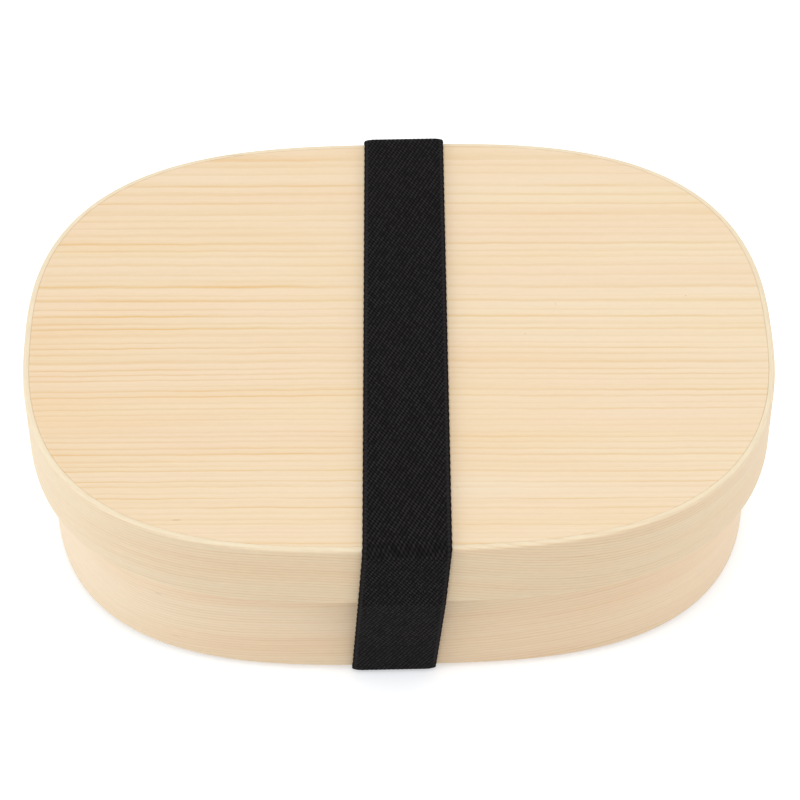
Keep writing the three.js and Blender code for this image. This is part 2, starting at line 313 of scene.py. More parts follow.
def strip_grain(mesh, offset):
    """Grain that runs along a bent strip, whatever its cuts."""
    points = corner_points(mesh)
    fine, out, run, perimeter = make_outline(GRAIN_STEPS)
    along, depth = np.empty(len(points)), np.empty(len(points))
    for k in range(0, len(points), GRAIN_BATCH):
        batch = slice(k, k + GRAIN_BATCH)
        part = points[batch, None, :2] - fine[None]
        near = np.argmin((part**2).sum(2), 1)
        chosen = part[np.arange(len(near)), near]
        depth[batch] = -(chosen * out[near]).sum(1)
        side = chosen[:, 0] * out[near, 1] - chosen[:, 1] * out[near, 0]
        along[batch] = run[near] + side
    # The corners of one face stay together where the outline starts again.
    for face in mesh.polygons:
        corners = list(face.loop_indices)
        first = along[corners[0]]
        for c in corners:
            along[c] += perimeter * round((first - along[c]) / perimeter)
    set_grain(mesh, np.column_stack([along, points[:, 2], depth]) + offset)


def rounded(inset, z, radius, start):
    """A quarter round of (inset, z) points about a centre, from this angle on."""
    angles = math.radians(start) + np.linspace(0, math.pi / 2, EDGE_STEPS)
    return [(inset - radius * math.cos(a), z + radius * math.sin(a)) for a in angles]


# Lap and lacing


def lap_cutter(outer_inset, bottom, top):
    """The thin slanted gap between the two tapered ends of a strip."""
    outer, inner = [], []
    for share in np.linspace(0, 1, LAP_STEPS):
        point, out = back_station(LAP_MIDDLE + LAP_LENGTH * (share - 0.5))
        depth = outer_inset - OVERRUN + share * (STRIP + 2 * OVERRUN)
        outer.append(point - out * (depth - LAP_GAP / 2))
        inner.append(point - out * (depth + LAP_GAP / 2))
    shape = np.array(outer + inner[::-1])
    low, high = bottom - OVERRUN, top + OVERRUN
    rings = [np.column_stack([shape, np.full(len(shape), z)]) for z in (low, high)]
    return loft("lap_cutter", rings, looped=False)


def lacing_matrix(outer_inset):
    """Carries (outward, up, along) into place at the middle of the lap."""
    point, out = back_station(LAP_MIDDLE)
    point = point - out * outer_inset
    outward = Vector((out[0], out[1], 0))
    up = Vector((0, 0, 1))
    matrix = Matrix((outward, up, outward.cross(up))).transposed().to_4x4()
    matrix.translation = (point[0], point[1], 0)
    return matrix


def hole_levels(first, last, stitches, hop):
    """Where a running stitch goes in and out between two levels, with hops between stitches."""
    stitch = (last - first - (stitches - 1) * hop) / stitches
    starts = [first + k * (stitch + hop) for k in range(stitches)]
    return [level for start in starts for level in (start, start + stitch)]


def running_path(levels, tail, under, over, bend):
    """Middle line of a running stitch, with every corner rounded, as (side, level) points."""
    corners = [np.array([under, levels[0] - tail])]
    for k, level in enumerate(levels):
        sides = (under, over) if k % 2 == 0 else (over, under)
        corners += [np.array([side, level]) for side in sides]
    corners.append(np.array([under, levels[-1] + tail]))
    path = [corners[0]]
    for before, corner, after in zip(corners, corners[1:], corners[2:]):
        back = (before - corner) / np.linalg.norm(before - corner)
        on = (after - corner) / np.linalg.norm(after - corner)
        centre = corner + bend * (back + on)
        for t in np.linspace(0, math.pi / 2, BEND_POINTS):
            path.append(centre - bend * (on * math.cos(t) + back * math.sin(t)))
    path.append(corners[-1])
    return np.array(path)


def stitch_mesh(name, path, width, thickness, matrix, sides, power):
    """Sweeps a rounded flat section along a path of (side, level) points.

    A power of 2 makes the section an ellipse, and a higher one squares it."""
    lean = np.gradient(path, axis=0)
    lean /= np.linalg.norm(lean, axis=1)[:, None]
    normal = np.column_stack([lean[:, 1], -lean[:, 0]])
    rings = []
    for point, out in zip(path, normal):
        row = []
        for t in np.arange(sides) * 2 * math.pi / sides:
            c, s = math.cos(t), math.sin(t)
            a = math.copysign(abs(c) ** (2 / power), c) * width / 2
            b = math.copysign(abs(s) ** (2 / power), s) * thickness / 2
            row.append(matrix @ Vector((*(point + out * b), a)))
        rings.append(row)
    return loft(name, rings, looped=False, sharp=50)


def slit_cutters(outer_inset, levels):
    """One block for each slit of a lacing."""
    size = Vector((
        STRIP + 2 * OVERRUN,
        BARK_THICKNESS + 2 * SLIT_CLEARANCE,
        BARK_WIDTH + 2 * SLIT_CLEARANCE,
    ))
    matrix = lacing_matrix(outer_inset)
    cutters = []
    for level in levels:
        middle = Vector((-STRIP / 2, level, 0))
        corners = [
            matrix @ (middle + Vector((x * size.x, y * size.y, z * size.z)) / 2)
            for x in (-1, 1)
            for y, z in ((-1, -1), (1, -1), (1, 1), (-1, 1))
        ]
        cutters.append(loft("slit_cutter", np.array(corners).reshape(2, 4, 3), looped=False))
    return cutters


def bark_lacing(name, outer_inset, levels):
    """One ribbon of bark that runs in and out of its slits."""
    over = BARK_SEAT + BARK_THICKNESS / 2
    path = running_path(levels, BARK_TAIL, -STRIP - over, over, BARK_BEND)
    matrix = lacing_matrix(outer_inset)
    mesh = stitch_mesh(name, path, BARK_WIDTH, BARK_THICKNESS, matrix, sides=24, power=5)
    to_local = matrix.inverted()
    local = [to_local @ Vector(p) for p in corner_points(mesh)]
    set_grain(mesh, [(p.z, p.y, p.x) for p in local])
    return mesh


# Wooden pieces


def lid_side_strip():
    """Profile of the lid's strip, with its foot and top."""
    top, foot = lid_strip[1].z, lid_strip[0].z
    ledge = lid_board[0].z - LEDGE_GAP
    profile = [
        *rounded(LID_ROUND, top - LID_ROUND, LID_ROUND, 0),
        *rounded(RIM - BOARD_EASE, top - BOARD_EASE, BOARD_EASE, 90),
        (RIM, ledge),
        (STRIP, ledge),
        *rounded(STRIP - EDGE_ROUND, foot + EDGE_ROUND, EDGE_ROUND, 180),
        *rounded(EDGE_ROUND, foot + EDGE_ROUND, EDGE_ROUND, 270),
    ]
    return profile, foot, top


def box_side_strip():
    """Profile of the box's strip, with its foot and top."""
    top, foot = box_strip[1].z, box_strip[0].z
    ledge = box_board[1].z + LEDGE_GAP
    outer, inner, rim = BOX_INSET, BOX_INSET + STRIP, BOX_INSET + RIM
    profile = [
        *rounded(outer + EDGE_ROUND, top - EDGE_ROUND, EDGE_ROUND, 0),
        *rounded(inner - EDGE_ROUND, top - EDGE_ROUND, EDGE_ROUND, 90),
        (inner, ledge),
        (rim, ledge),
        *rounded(rim - BOARD_EASE, foot + BOARD_EASE, BOARD_EASE, 180),
        *rounded(outer + EDGE_ROUND, foot + EDGE_ROUND, EDGE_ROUND, 270),
    ]
    return profile, foot, top


def strip(name, shape, outer_inset, levels, offset):
    """A bent strip with its lap and slits cut."""
    profile, foot, top = shape
    cutters = [lap_cutter(outer_inset, foot, top), *slit_cutters(outer_inset, levels)]
    mesh = cut(ring(name, profile), cutters)
    strip_grain(mesh, offset)
    set_edge(mesh)
    return mesh


def board(name, inset, box, offset):
    """A flat board that follows the outline, with its edges just eased."""
    bottom, top = box[0].z, box[1].z
    profile = [
        (inset + BOARD_EASE, bottom),
        (inset, bottom + BOARD_EASE),
        (inset, top - BOARD_EASE),
        (inset + BOARD_EASE, top),
    ]
    rings = [np.column_stack([inset_points(i), np.full(OUTLINE_STEPS, z)]) for i, z in profile]
    mesh = loft(name, rings, looped=False, sharp=30)
    set_grain(mesh, corner_points(mesh) + offset)
    return mesh


def divider_board(offset):
    """A partition with its two upper corners rounded and every edge eased."""
    low, high = divider
    middle = (low.x + high.x) / 2
    rings = []
    for x, shrink in (
        (low.x, DIVIDER_EASE),
        (low.x + 0.3 * DIVIDER_EASE, 0.3 * DIVIDER_EASE),
        (low.x + DIVIDER_EASE, 0),
        (high.x - DIVIDER_EASE, 0),
        (high.x - 0.3 * DIVIDER_EASE, 0.3 * DIVIDER_EASE),
        (high.x, DIVIDER_EASE),
    ):
        radius = DIVIDER_CORNER - shrink
        level = high.z - DIVIDER_CORNER
        points = [(low.y + shrink, low.z + shrink), (high.y - shrink, low.z + shrink)]
        for side, start in ((high.y - DIVIDER_CORNER, 0), (low.y + DIVIDER_CORNER, 90)):
            for a in np.radians(start) + np.linspace(0, math.pi / 2, DIVIDER_STEPS):
                points.append((side + radius * math.cos(a), level + radius * math.sin(a)))
        rings.append([(x, y, z) for y, z in points])
    mesh = loft("divider_board", rings, looped=False, sharp=40)
    points = corner_points(mesh)
    grain = np.column_stack([points[:, 1], points[:, 2], points[:, 0] - middle])
    set_grain(mesh, grain + offset)
    return mesh


# Elastic band


def band_line():
    """Middle line of the band, once round from its inner end, as y, z and outward angle."""
    outer_level = BAND_THICKNESS / 2
    inner_level = outer_level + BAND_THICKNESS + LAYER_GAP
    box_half = WIDTH / 2 - BOX_INSET - BEND
    lid_half = WIDTH / 2 - BEND
    foot = box_strip[0].z + BEND
    skirt = lid_strip[0].z + BEND
    top = lid_strip[1].z - BEND
    corners = [
        (-box_half, foot), (-lid_half, skirt), (-lid_half, top),
        (lid_half, top), (lid_half, skirt), (box_half, foot),
    ]
    radius = BEND + BAND_GAP + BAND_THICKNESS / 2
    down = -math.pi / 2
    line = [(OVERLAP_BACK, inner_level, down)]
    for share in np.linspace(0, 1, STEP_DOWN_POINTS):
        y = OVERLAP_FRONT - LAYER_GAP - BAND_THICKNESS - share * STEP_DOWN
        drop = (1 - math.cos(math.pi * share)) / 2
        line.append((y, inner_level + (outer_level - inner_level) * drop, down))
    angle = down
    for k, corner in enumerate(corners):
        after = corners[(k + 1) % len(corners)]
        end = math.atan2(after[1] - corner[1], after[0] - corner[0]) + math.pi / 2
        turn = (angle - end) % (2 * math.pi)
        for t in np.linspace(0, turn, max(2, round(math.degrees(turn) / BEND_STEP))):
            a = angle - t
            line.append((corner[0] + radius * math.cos(a), corner[1] + radius * math.sin(a), a))
        angle -= turn
    line.append((OVERLAP_FRONT, outer_level, angle))
    line = np.array(line)
    run = np.concatenate([[0], np.cumsum(np.hypot(*np.diff(line[:, :2], axis=0).T))])
    at = np.linspace(0, run[-1], round(run[-1] / BAND_STEP))
    return at, *(np.interp(at, run, column) for column in line.T)


def band_shift(y, z):
    """Sideways wander of the band at a place in its loop."""
    back = y / WIDTH + 0.5
    up = z / band[1].z
    bottom = SHIFT_FRONT_BOTTOM + (SHIFT_BACK_BOTTOM - SHIFT_FRONT_BOTTOM) * back
    top = SHIFT_FRONT_TOP + (SHIFT_BACK_TOP - SHIFT_FRONT_TOP) * back
    return bottom + (top - bottom) * up


def weave_height(across, along):
    """Relief of the twill's leaning ribs, from 0 to 1, up to the selvedge."""
    rib = np.cos(2 * np.pi * (across / RIB_ACROSS - along / RIB_ALONG))
    inside = np.clip((BAND_WIDTH / 2 - np.abs(across)) / SELVEDGE - RIB_START, 0, 1)
    return inside * (0.5 + 0.5 * rib)


def elastic_band():
    """The band with its ribs, selvedges and bends, swept along its middle line."""
    at, y, z, angle = band_line()
    out = np.column_stack([np.zeros(len(at)), np.cos(angle), np.sin(angle)])
    middle = np.column_stack([band_shift(y, z), y, z])
    turning = np.abs(np.sin(2 * angle))
    section = band_section(at, turning)
    skirt = lid_strip[0].z
    front = (0.5 - y / WIDTH) * np.clip(z / skirt, 0, 1)
    widen = 1 + (BEND_BULGE * turning * (z > skirt) + FRONT_BULGE * front) / BAND_WIDTH
    rings = np.stack(
        [
            middle + out * height[:, None] + np.outer(width * widen, (1, 0, 0))
            for width, height in section
        ],
        axis=1,
    )
    mesh = loft("elastic_band", rings, looped=False, sharp=80)
    add_band_maps(mesh, section, at, z, turning)
    return mesh


def band_section(at, turning):
    """Outline of the band's section, as (across, outwards) for every row of the mesh.

    turning is how much the band bends at each row, from 0 to 1."""
    flat = np.ones(len(at))
    half, edge = BAND_THICKNESS / 2, BAND_WIDTH / 2 - SCALLOP
    relief = RELIEF * (1 - (1 - BEND_RELIEF) * turning)
    crown = CROWN * (FLAT_CROWN + (1 - FLAT_CROWN) * turning)
    scallop = SCALLOP * np.cos(2 * np.pi * at / RIB_ALONG)

    def face_height(u):
        near_edge = np.clip(1 - (edge - np.abs(u)) / CROWN_REACH, 0, 1) ** 2
        return half - relief * (1 - weave_height(u, at)) - crown * near_edge

    face = [(u * flat, face_height(u)) for u in np.linspace(LIP - edge, edge - LIP, BAND_COLUMNS)]
    top = face_height(edge) - LIP_DROP
    roll = [
        (edge - EDGE_BULGE, top),
        (edge + EDGE_BULGE, (top - half) / 2),
        (edge - EDGE_BULGE, -half + LIP_RISE),
    ]
    right = [(w + scallop, h * flat) for w, h in roll]
    left = [(-w - scallop, h * flat) for w, h in reversed(roll)]
    inner = [(u * flat, -half * flat) for u in np.linspace(edge - LIP, LIP - edge, INNER_COLUMNS)]
    return face + right + inner + left


def add_band_maps(mesh, section, at, z, turning):
    """Stores where each corner lies in the cloth, how far each point follows a lifted lid,
    and how much the band bends there."""
    count, sides = len(at), len(section)
    width = np.stack([w for w, _ in section], 1)
    cloth = np.stack([width, np.repeat(at[:, None], sides, 1), np.zeros((count, sides))], 2)
    index = np.empty(len(mesh.loops), int)
    mesh.loops.foreach_get("vertex_index", index)
    set_grain(mesh, cloth.reshape(-1, 3)[index])
    foot, skirt = box_strip[0].z + BEND, lid_strip[0].z
    share = np.clip((z - foot) / (skirt - foot), 0, 1)
    for name, value in (("follows_lid", share), ("fold", turning)):
        layer = mesh.attributes.new(name, "FLOAT", "POINT")
        layer.data.foreach_set("value", np.repeat(value, sides).astype(np.float32))


def stretch_with_lid(piece):
    """The band stretches when the lid lifts under it, and slackens again once it is off the box."""
    tree = bpy.data.node_groups.new("band_stretch", "GeometryNodeTree")
    tree.interface.new_socket("Geometry", in_out="INPUT", socket_type="NodeSocketGeometry")
    tree.interface.new_socket("Geometry", in_out="OUTPUT", socket_type="NodeSocketGeometry")
    add, link = tree.nodes.new, tree.links.new
    source, result = add("NodeGroupInput"), add("NodeGroupOutput")
    axes = []
    for body in ("lid", "band"):
        info, split = add("GeometryNodeObjectInfo"), add("ShaderNodeSeparateXYZ")
        info.inputs["Object"].default_value = frame["bodies"][body]
        link(info.outputs["Location"], split.inputs[0])
        axes.append(split)
    slack = add("ShaderNodeMapRange")
    slack.inputs["From Max"].default_value = LENGTH / 2
    slack.inputs["To Min"].default_value = 1
    slack.inputs["To Max"].default_value = 0
    link(axes[1].outputs["X"], slack.inputs["Value"])
    share = add("GeometryNodeInputNamedAttribute")
    share.inputs["Name"].default_value = "follows_lid"
    rise = axes[0].outputs["Z"]
    for factor in (slack.outputs["Result"], share.outputs["Attribute"]):
        product = add("ShaderNodeMath")
        product.operation = "MULTIPLY"
        link(rise, product.inputs[0])
        link(factor, product.inputs[1])
        rise = product.outputs[0]
    offset, move = add("ShaderNodeCombineXYZ"), add("GeometryNodeSetPosition")
    link(rise, offset.inputs["Z"])
    link(offset.outputs[0], move.inputs["Offset"])
    link(source.outputs[0], move.inputs["Geometry"])
    link(move.outputs[0], result.inputs[0])
    piece.modifiers.new("stretch", "NODES").node_group = tree


def seam_thread(name, y):
    """One row of stitches across the overlapped ends of the band."""
    middle = band_shift(y, 0)
    reach = BAND_WIDTH / 2 - SEAM_MARGIN
    levels = hole_levels(middle - reach, middle + reach, SEAM_STITCHES, SEAM_HOP)
    low = THREAD_FLOOR + THREAD / 2
    high = 2 * BAND_THICKNESS + LAYER_GAP + THREAD_TOP + THREAD / 2
    path = running_path(levels, SEAM_HOP / 2, high, low, THREAD_BEND)
    matrix = Matrix(((0, 1, 0, 0), (0, 0, 1, y), (1, 0, 0, 0), (0, 0, 0, 1)))
    mesh = stitch_mesh(name, path, THREAD, THREAD, matrix, sides=10, power=2)
    set_grain(mesh, corner_points(mesh))
    return mesh


# Materials


def srgb(red, green, blue):
    """A colour as a photograph shows it, from 0 to 255, in the renderer's own terms."""
    values = [c / 255 for c in (red, green, blue)]
    return (*(v / 12.92 if v <= 0.04045 else ((v + 0.055) / 1.055) ** 2.4 for v in values), 1)


PEACH = srgb(254, 243, 236)
YELLOW = srgb(254, 250, 232)
TANNED = srgb(253, 249, 245)
# Pale cream of the sanded edges, with a painted highlight laid in with it.
SANDED_AND_HIGHLIGHT = srgb(253, 239, 207)
SPECK = srgb(172, 118, 76)

END_DARK = -90 * MM  # where along a board its wood is brownest, and where it has turned pale
END_PALE = 15 * MM
BOLD_TO = 45 * MM  # how far from their boldest place the rings stay bold, and where they are faint
FAINT_FROM = 90 * MM
TINT_SHIFT = 300 * MM  # between the places where two tints are read from one noise


class Graph:
    """A short way to write a material's nodes."""

    def __init__(self, name):
        self.material = bpy.data.materials.new(name)
        self.material.use_nodes = True
        self.tree = self.material.node_tree
        self.shader = self.tree.nodes["Principled BSDF"]

    def put(self, socket, value):
        """Feeds a socket from another one, or gives it a fixed value."""
        if isinstance(value, bpy.types.NodeSocket):
            self.tree.links.new(value, socket)
        else:
            socket.default_value = value

    def math(self, operation, *values, clamp=False):
        """One step of arithmetic, kept between 0 and 1 if clamped."""
        node = self.tree.nodes.new("ShaderNodeMath")
        node.operation, node.use_clamp = operation, clamp
        for socket, value in zip(node.inputs, values):
            self.put(socket, value)
        return node.outputs[0]

    def axes(self, name):
        """An attribute's three parts, in millimetres."""
        source = self.tree.nodes.new("ShaderNodeAttribute")
        source.attribute_name = name
        split = self.tree.nodes.new("ShaderNodeSeparateXYZ")
        self.put(split.inputs[0], source.outputs["Vector"])
        return [self.math("DIVIDE", part, MM) for part in split.outputs]

    def number(self, name):
        """An attribute that is one number."""
        source = self.tree.nodes.new("ShaderNodeAttribute")
        source.attribute_name = name
        return source.outputs["Fac"]

    def vector(self, *parts):
        """A vector from its parts."""
        node = self.tree.nodes.new("ShaderNodeCombineXYZ")
        for socket, value in zip(node.inputs, parts):
            self.put(socket, value)
        return node.outputs[0]

    def noise(self, parts, sizes, detail=2.0, roughness=0.5):
        """Noise whose features have these sizes, in millimetres, along each part."""
        node = self.tree.nodes.new("ShaderNodeTexNoise")
        scaled = [self.math("DIVIDE", part, size) for part, size in zip(parts, sizes)]
        self.put(node.inputs["Vector"], self.vector(*scaled))
        node.inputs["Scale"].default_value = 1
        node.inputs["Detail"].default_value = detail
        node.inputs["Roughness"].default_value = roughness
        return node.outputs["Fac"]

    def random(self, value):
        """A number from 0 to 1 that belongs to this value."""
        node = self.tree.nodes.new("ShaderNodeTexWhiteNoise")
        node.noise_dimensions = "1D"
        self.put(node.inputs["W"], value)
        return node.outputs["Value"]

    def spots(self, along, across, size, stretch, rare, radius):
        """Marks of this radius, in millimetres, longer along the grain, in a few of the cells."""
        node = self.tree.nodes.new("ShaderNodeTexVoronoi")
        node.voronoi_dimensions = "2D"
        place = [self.math("DIVIDE", along, size * stretch), self.math("DIVIDE", across, size)]
        self.put(node.inputs["Vector"], self.vector(*place))
        node.inputs["Scale"].default_value = 1
        few = self.span(node.outputs["Color"], rare, rare + 0.01)
        mark = self.span(node.outputs["Distance"], radius / size, 0.4 * radius / size)
        return self.math("MULTIPLY", mark, few)

    def ramp(self, value, *stops, smooth="B_SPLINE"):
        """A colour, or a grey, read between stops of (value, colour)."""
        node = self.tree.nodes.new("ShaderNodeValToRGB")
        node.color_ramp.interpolation = smooth
        elements = node.color_ramp.elements
        while len(elements) < len(stops):
            elements.new(0.5)
        for element, (place, colour) in zip(elements, stops):
            element.position = place
            element.color = colour if isinstance(colour, tuple) else (colour, colour, colour, 1)
        self.put(node.inputs[0], value)
        return node.outputs["Color"]

    def span(self, value, low, high, to_low=0.0, to_high=1.0):
        """The value carried from one range into another, and held at its ends."""
        node = self.tree.nodes.new("ShaderNodeMapRange")
        for socket, part in zip(node.inputs, (value, low, high, to_low, to_high)):
            self.put(socket, part)
        return node.outputs[0]

    def mix(self, factor, first, second, blend="MIX"):
        """The first colour with this share of the second blended in."""
        node = self.tree.nodes.new("ShaderNodeMix")
        node.data_type, node.blend_type = "RGBA", blend
        self.put(node.inputs[0], factor)
        self.put(node.inputs[6], first)
        self.put(node.inputs[7], second)
        return node.outputs[2]

    def shade(self, colour, value, low, high, depth):
        """The colour, darker by this depth where the value is low."""
        grey = self.ramp(value, (low, 1 - depth), (high, 1.0), smooth="LINEAR")
        return self.mix(1.0, colour, grey, "MULTIPLY")

    def bump(self, height, distance):
        """Relief in the shading, this many metres deep."""
        node = self.tree.nodes.new("ShaderNodeBump")
        node.inputs["Strength"].default_value = 1.0
        node.inputs["Distance"].default_value = distance
        self.put(node.inputs["Height"], height)
        self.put(self.shader.inputs["Normal"], node.outputs["Normal"])

    def set(self, **values):
        """Sets the shader's own inputs by name."""
        for name, value in values.items():
            self.put(self.shader.inputs[name.replace("_", " ")], value)


def growth_rings(g, parts, pitch, variety, crowding, wander, lean, slope):
    """How dark the late wood is at each place, from 0 to 1, and the distance across the rings.

    pitch is the usual spacing of the rings in millimetres, variety how much one ring differs
    from the next, crowding how much closer they come across the board, wander how far a ring
    strays, lean how far the fibre bends out of line and slope how fast it leaves the line.
    Each ring darkens slowly and ends sharply."""
    along, across, deep = parts
    slow = g.noise(parts, (110, 40, 40), detail=1)
    quick = g.noise(parts, (9, 12, 12), detail=2)
    sway = g.math("MULTIPLY", g.math("SUBTRACT", slow, 0.5), 1.6 * wander)
    ripple = g.math("MULTIPLY", g.math("SUBTRACT", quick, 0.5), 0.5 * wander)
    bend = g.math("MULTIPLY", g.noise((along, 0.0, 0.0), (150, 1, 1), detail=1), lean)
    out_of_line = g.math("ADD", bend, g.math("MULTIPLY", along, slope))
    place = g.math("ADD", across, g.math("MULTIPLY", deep, 0.45))
    place = g.math("ADD", place, g.math("ADD", sway, ripple))
    place = g.math("ADD", place, out_of_line)
    even = g.math("DIVIDE", place, pitch)
    crowded = g.math("MULTIPLY", g.math("MULTIPLY", place, place), crowding)
    spacing = g.noise((place, 0.0, 0.0), (4 * pitch, 1, 1), detail=1)
    uneven = g.math("MULTIPLY", spacing, 1.8 * variety)
    phase = g.math("ADD", g.math("SUBTRACT", even, crowded), uneven)
    which = g.math("FLOOR", phase)
    width = g.random(g.math("ADD", which, 0.5))
    narrow = g.span(width, 0, 1, 1 - 0.35 * variety, 1 + 0.3 * variety)
    profile = g.ramp(
        g.math("MULTIPLY", g.math("FRACT", phase), narrow),
        (0.0, 0.08), (0.08, 0.68), (0.19, 1.0), (0.34, 0.48), (0.58, 0.14), (1.0, 0.0),
    )
    strength = g.span(g.random(which), 0, 1, 1 - 0.58 * variety, 1.0)
    streak = g.span(g.noise(parts, (45, 1.6, 2.5), detail=2), 0.3, 0.7, 0.65, 1.2)
    return g.math("MULTIPLY", profile, g.math("MULTIPLY", strength, streak)), place


def wood(name, rings, contrast, hair, boldest, faint, fade, fuzz, early, middle, late, tints):
    """Planed pale cedar: growth rings along the fibre, with hair lines, specks, and sanded edges
    that are paler and carry a painted highlight.

    rings says how the growth rings lie. contrast is how bold they are, hair how bold the hair
    lines between them, boldest the place along the grain where both are boldest and faint the
    share of them left far from it. fade is how much browner the left end is and fuzz how far
    the fibres stand out. early, middle and late are colours from the palest wood to the
    darkest, and tints are pairs of a colour and its share, laid over it in broad patches."""
    g = Graph(name)
    parts = g.axes("grain")
    along, across, deep = parts
    late_wood, place = growth_rings(g, parts, **rings)
    lines = g.noise((along, place, deep), (70, 0.55, 2), detail=2)
    fine = g.math("MULTIPLY", g.math("SUBTRACT", lines, 0.5), hair)
    away = g.math("ABSOLUTE", g.math("SUBTRACT", along, boldest / MM))
    bold = g.span(away, BOLD_TO / MM, FAINT_FROM / MM, 1, faint)
    both = g.math("ADD", g.math("MULTIPLY", late_wood, contrast), fine)
    dark = g.math("MULTIPLY", both, bold, clamp=True)
    colour = g.ramp(dark, (0.0, early), (0.5, middle), (1.0, late), smooth="LINEAR")
    for k, (tint, share) in enumerate(tints):
        moved = (g.math("ADD", along, TINT_SHIFT / MM * (k + 1)), place, deep)
        patch = g.span(g.noise(moved, (90, 9, 14), detail=2), 0.4, 0.7, 0, share)
        colour = g.mix(patch, colour, tint, "MULTIPLY")
    brown = g.span(along, END_DARK / MM, END_PALE / MM, fade, 0)
    colour = g.mix(brown, colour, TANNED, "MULTIPLY")
    # Faces that look up or down turn paler: partly the sanded edge's own colour, partly a painted
    # highlight.
    upper = g.span(g.number("edge"), 0.5, 0.97, 0, 0.5)
    lower = g.span(g.number("edge"), -0.05, -0.5, 0, 0.6)
    colour = g.mix(g.math("MAXIMUM", upper, lower), colour, SANDED_AND_HIGHLIGHT)
    mottle = g.noise(parts, (2.6, 0.7, 0.7), detail=2, roughness=0.6)
    colour = g.shade(colour, mottle, 0.3, 0.7, fuzz)
    fibre = g.noise(parts, (7, 0.16, 0.2), detail=3, roughness=0.6)
    colour = g.shade(colour, fibre, 0.25, 0.75, fuzz)
    speck = g.spots(along, across, size=12.0, stretch=1.6, rare=0.82, radius=0.17)
    streak = g.spots(along, across, size=7.0, stretch=7.0, rare=0.9, radius=0.2)
    marks = g.math("MULTIPLY", g.math("ADD", speck, streak), 0.38)
    colour = g.mix(marks, colour, SPECK)
    height = g.math("ADD", g.math("MULTIPLY", fibre, 0.5), g.math("MULTIPLY", dark, 0.6))
    g.bump(height, 0.035 * MM)
    roughness = g.span(g.math("SUBTRACT", fibre, g.math("MULTIPLY", dark, 0.3)), 0, 1, 0.5, 0.66)
    g.set(Base_Color=colour, Roughness=roughness, Specular_IOR_Level=0.35)
    return g.material


def bark(name):
    """Cherry bark: deep red-brown, polished, with pale lenticels across it."""
    g = Graph(name)
    parts = g.axes("grain")
    streak = g.noise(parts, (3.5, 0.35, 1), detail=3)
    patch = g.noise(parts, (5, 4, 2), detail=2)
    dark, middle, pale = srgb(58, 24, 16), srgb(96, 42, 25), srgb(128, 64, 38)
    colour = g.ramp(streak, (0.25, dark), (0.5, middle), (0.8, pale))
    lenticel = g.span(g.noise(parts, (1.3, 0.22, 1), detail=1), 0.66, 0.74, 0, 0.55)
    colour = g.mix(lenticel, colour, srgb(176, 120, 82))
    height = g.math("ADD", streak, g.math("MULTIPLY", lenticel, 1.5))
    g.bump(height, 0.05 * MM)
    g.set(Base_Color=colour, Roughness=g.span(patch, 0.2, 0.8, 0.28, 0.48))
    return g.material


def elastic(name):
    """Black twill elastic: leaning ribs crossed by rows of knit stitches, between two selvedges."""
    g = Graph(name)
    across, along, _ = g.axes("grain")
    flat = (across, along, 0.0)
    stray = g.math("MULTIPLY", g.math("SUBTRACT", g.noise(flat, (3, 5, 1)), 0.5), 0.35)
    across_thread = g.math("ADD", across, stray)
    along_thread = g.math("ADD", along, stray)

    def turns(across_pitch, along_pitch):
        across_turns = g.math("DIVIDE", across_thread, across_pitch / MM)
        along_turns = g.math("DIVIDE", along_thread, along_pitch / MM)
        return g.math("ADD", across_turns, along_turns)

    def wave(value):
        return g.math("COSINE", g.math("MULTIPLY", value, 2 * math.pi))

    rib, stitch = turns(RIB_ACROSS, -RIB_ALONG), turns(STITCH_ACROSS, STITCH_ALONG)
    ribs = g.math("MULTIPLY", wave(rib), 0.31)
    stitches = g.math("MULTIPLY", wave(stitch), 0.34)
    twill = g.math("ADD", ribs, stitches)
    # Every crossing of a rib and a stitch has a brightness of its own.
    which_rib = g.math("MULTIPLY", g.math("ROUND", rib), 17.3)
    which_stitch = g.math("MULTIPLY", g.math("ROUND", stitch), 3.7)
    own = g.random(g.math("ADD", which_rib, which_stitch))
    patch = g.span(g.noise(flat, (1.6, 2.0, 1), detail=1), 0.25, 0.75, 0.93, 1.07)
    lively = g.math("MULTIPLY", g.span(own, 0, 1, 0.62, 1.4), patch)
    twill = g.math("MULTIPLY", twill, g.span(g.number("fold"), 0, 1, 1, 0.5))
    twill = g.math("MULTIPLY", g.math("ADD", twill, 0.36), lively)
    cord = wave(g.math("DIVIDE", along, RIB_ALONG / 2 / MM))
    from_edge = g.math("SUBTRACT", BAND_WIDTH / 2 / MM, g.math("ABSOLUTE", across))
    inside = g.span(from_edge, 0.85, 1.1)
    bead = g.math("SUBTRACT", g.span(from_edge, 0.25, 0.45), inside, clamp=True)
    selvedge = g.math("MULTIPLY", g.span(cord, -1, 1, 0.45, 0.95), bead)
    cloth = g.math("ADD", g.math("MULTIPLY", twill, inside), selvedge)
    fuzz = g.noise(flat, (0.2, 0.12, 1), detail=3)
    tone = g.math("ADD", cloth, g.math("MULTIPLY", g.math("SUBTRACT", fuzz, 0.5), 0.62), clamp=True)
    colour = g.mix(tone, srgb(1, 1, 1), srgb(45, 42, 43))
    # The outermost 0.3 mm of each edge turns dark brown: painted shade with a painted reflection of
    # the wood beside it.
    colour = g.mix(g.span(from_edge, 0.3, 0.1, 0, 0.8), colour, srgb(34, 25, 18))
    g.bump(g.math("ADD", cloth, g.math("MULTIPLY", fuzz, 0.3)), 0.12 * MM)
    g.set(Base_Color=colour, Roughness=0.85, Specular_IOR_Level=0.06)
    g.set(Sheen_Weight=0.01, Sheen_Roughness=0.5)
    return g.material


